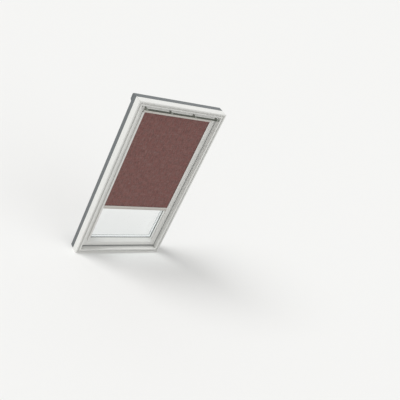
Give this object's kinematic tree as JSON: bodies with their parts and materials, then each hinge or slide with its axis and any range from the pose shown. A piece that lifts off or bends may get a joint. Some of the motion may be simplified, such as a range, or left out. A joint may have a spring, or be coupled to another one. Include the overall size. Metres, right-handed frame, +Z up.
{
  "type": "roof window with roller blind",
  "caption": "Centre-pivot roof window: white frame and sash, double glazing, vent flap with control bar, and a roller blind in side channels.",
  "frame": {"origin": "middle of the underside of the frame's sill, halfway through the frame's depth", "axes": "+X across the window to the right as seen from the room, +Y out through the glass, +Z up the roof slope"},
  "size_m": [0.78, 0.1351, 1.398],
  "materials": {
    "white_lacquer": "white lacquered pine, satin",
    "grey_cover": "grey lacquered aluminium sheet",
    "bar_metal": "grey-green anodised aluminium",
    "bar_plastic": "dark grey moulded plastic",
    "blind_metal": "pale grey lacquered aluminium",
    "white_plastic": "white moulded plastic",
    "steel": "zinc-plated steel",
    "spacer_metal": "pale lacquered spacer",
    "grey_rubber": "grey glazing rubber",
    "seal_rubber": "mid-grey seal rubber",
    "filter_foam": "open-cell filter foam",
    "blind_cloth": "dusty burgundy woven cloth",
    "clear_glass": "clear float glass"
  },
  "bodies": {
    "frame": {"frame_head": "white_lacquer", "frame_sill": "white_lacquer", "frame_jamb_left": "white_lacquer", "frame_jamb_right": "white_lacquer", "frame_seal": "seal_rubber", "hinge_frame_left": "steel", "hinge_frame_right": "steel", "striker_plate": "steel", "head_cover": "grey_cover", "hood_end_left": "grey_cover", "hood_end_right": "grey_cover", "sill_cover": "grey_cover", "jamb_cover_left": "grey_cover", "jamb_cover_right": "grey_cover"},
    "sash": {"sash_top_rail": "white_lacquer", "sash_bottom_rail": "white_lacquer", "sash_stile_left": "white_lacquer", "sash_stile_right": "white_lacquer", "inner_pane": "clear_glass", "outer_pane": "clear_glass", "glazing_spacer": "spacer_metal", "glazing_gasket": "grey_rubber", "glazing_bedding": "seal_rubber", "sash_cover_left": "grey_cover", "sash_cover_right": "grey_cover", "sash_cover_top": "grey_cover", "sash_cover_bottom": "grey_cover", "hinge_sash_left": "steel", "hinge_sash_right": "steel", "latch_plate": "steel", "air_filter": "filter_foam", "flap_bearing": "white_plastic", "blind_casing": "blind_metal", "casing_end_left": "white_plastic", "casing_end_right": "white_plastic", "side_channel_left": "blind_metal", "side_channel_right": "blind_metal", "channel_stop_left": "white_plastic", "channel_stop_right": "white_plastic", "idler_pin": "steel", "spring_arbor": "steel", "roller_spring": "steel"},
    "vent_flap": {"vent_flap": "white_lacquer", "bar_bracket_1": "bar_plastic", "bar_bracket_2": "bar_plastic", "bar_bracket_3": "bar_plastic", "bar_bracket_4": "bar_plastic", "control_bar": "bar_metal", "bar_cap_left": "bar_plastic", "bar_cap_right": "bar_plastic"},
    "roller": {"roller_tube": "steel", "idler_plug": "white_plastic", "spring_plug": "white_plastic", "spring_anchor": "white_plastic", "fabric_roll": "blind_cloth"},
    "bottom_bar": {"bottom_bar": "blind_metal", "bar_glider_left": "white_plastic", "bar_glider_right": "white_plastic", "blind_fabric": "blind_cloth"}
  },
  "joints": [
    {"name": "sash_pivot", "type": "hinge", "parent": "frame", "child": "sash", "pos_m": [0, 0.019, 0.703], "axis": [1, 0, 0], "range_deg": [0, 150]},
    {"name": "vent_flap_hinge", "type": "hinge", "parent": "sash", "child": "vent_flap", "pos_m": [0, -0.0119, 1.3435], "axis": [1, 0, 0], "range_deg": [0, 45]},
    {"name": "blind_slide", "type": "slide", "parent": "sash", "child": "bottom_bar", "axis": [0, 0, 1], "range_m": [-0.325, 0.838], "deforming": ["blind_fabric"]},
    {"name": "roller_spin", "type": "hinge", "parent": "sash", "child": "roller", "pos_m": [0, -0.004, 1.321], "axis": [1, 0, 0], "range_deg": [-3860, 1500]}
  ],
  "couplings": [
    {"joint": "roller_spin", "follows": "blind_slide", "rad_per_m": -80.32}
  ]
}
